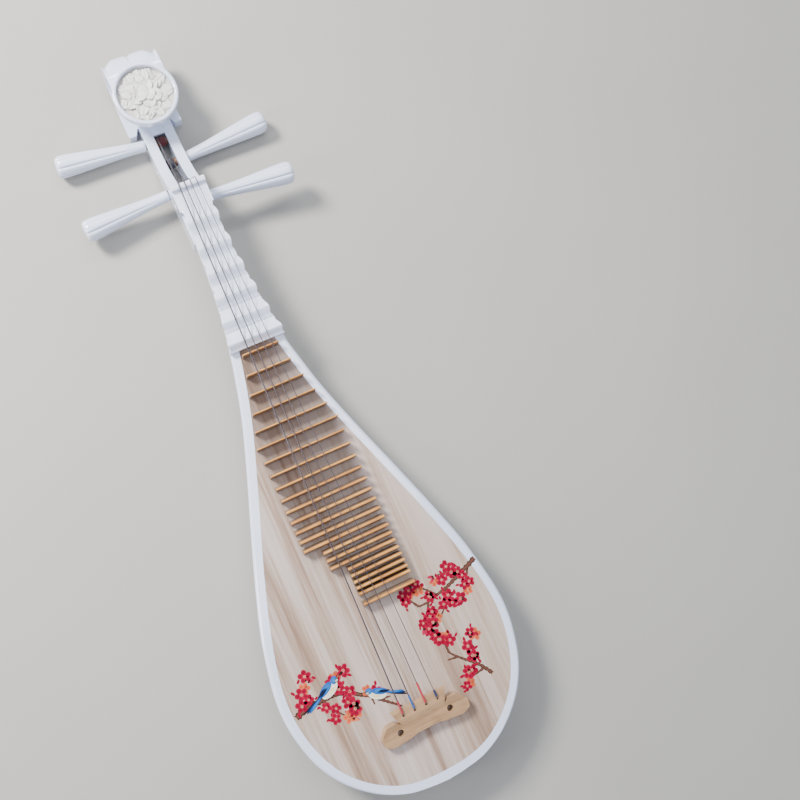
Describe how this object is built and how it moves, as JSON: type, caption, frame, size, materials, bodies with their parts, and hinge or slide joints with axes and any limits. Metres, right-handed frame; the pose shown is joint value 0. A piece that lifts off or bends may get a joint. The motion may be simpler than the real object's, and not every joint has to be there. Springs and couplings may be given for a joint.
{
  "type": "pipa",
  "caption": "Four-stringed pear-shaped Chinese lute with a painted soundboard, bamboo frets, a curled head and turning tuning pegs.",
  "frame": {"origin": "middle of the footprint, level with the lowest point of the back", "axes": "+Z out of the soundboard, +Y towards the head, +X to the right when the soundboard faces the viewer with the head up"},
  "size_m": [0.3126, 1, 0.0828],
  "materials": {
    "white_lacquer": "white gloss lacquer over wood",
    "peg_lacquer": "white gloss lacquer on the handle, bare brown wood on the shaft",
    "white_gloss": "polished white",
    "carved_resin": "carved, satin off-white",
    "paulownia": "bare straight-grained paulownia with a painted plum branch",
    "spruce": "bare wood",
    "bamboo": "bare bamboo strips",
    "honey_bamboo": "oiled bamboo",
    "steel_string": "steel, nylon wound",
    "crimson_thread": "silk thread",
    "blue_thread": "silk thread",
    "red_thread": "silk thread",
    "dark_blue_thread": "silk thread",
    "crimson_winding": "string end wound with thread",
    "steel_winding": "steel string wound on the shaft"
  },
  "bodies": {
    "root": {"back_and_neck": "white_lacquer", "soundboard": "paulownia", "upper_brace": "spruce", "middle_brace": "spruce", "lower_brace": "spruce", "sound_post": "spruce", "pegbox": "white_lacquer", "head_scroll": "white_lacquer", "medallion_ring": "white_lacquer", "medallion": "carved_resin", "nut": "white_gloss", "xiang_1": "white_gloss", "xiang_2": "white_gloss", "xiang_3": "white_gloss", "xiang_4": "white_gloss", "xiang_5": "white_gloss", "xiang_6": "white_gloss", "fret_01": "bamboo", "fret_02": "bamboo", "fret_03": "bamboo", "fret_04": "bamboo", "fret_05": "bamboo", "fret_06": "bamboo", "fret_07": "bamboo", "fret_08": "bamboo", "fret_09": "bamboo", "fret_10": "bamboo", "fret_11": "bamboo", "fret_12": "bamboo", "fret_13": "bamboo", "fret_14": "bamboo", "fret_15": "bamboo", "fret_16": "bamboo", "fret_17": "bamboo", "fret_18": "bamboo", "fret_19": "bamboo", "fret_20": "bamboo", "fret_21": "bamboo", "fret_22": "bamboo", "fret_23": "bamboo", "fret_24": "bamboo", "bridge": "honey_bamboo", "string_1": "steel_string", "string_2": "steel_string", "string_3": "steel_string", "string_4": "steel_string", "string_wrap_1": "crimson_thread", "string_wrap_2": "blue_thread", "string_wrap_3": "red_thread", "string_wrap_4": "dark_blue_thread"},
    "tuning_peg_1": {"peg_1": "peg_lacquer", "winding_1": "crimson_winding"},
    "tuning_peg_2": {"peg_2": "peg_lacquer", "winding_2": "steel_winding"},
    "tuning_peg_3": {"peg_3": "peg_lacquer", "winding_3": "crimson_winding"},
    "tuning_peg_4": {"peg_4": "peg_lacquer", "winding_4": "steel_winding"}
  },
  "joints": [
    {"name": "peg_1_turn", "type": "hinge", "parent": "root", "child": "tuning_peg_1", "pos_m": [0, 0.386, 0.016], "axis": [-0.9954, 0.0958, 0], "continuous": true},
    {"name": "peg_2_turn", "type": "hinge", "parent": "root", "child": "tuning_peg_2", "pos_m": [0, 0.354, 0.016], "axis": [0.9954, 0.0958, 0], "continuous": true},
    {"name": "peg_3_turn", "type": "hinge", "parent": "root", "child": "tuning_peg_3", "pos_m": [0, 0.315, 0.0265], "axis": [-0.9976, -0.0698, 0], "continuous": true},
    {"name": "peg_4_turn", "type": "hinge", "parent": "root", "child": "tuning_peg_4", "pos_m": [0, 0.291, 0.0435], "axis": [0.9976, -0.0698, 0], "continuous": true}
  ]
}
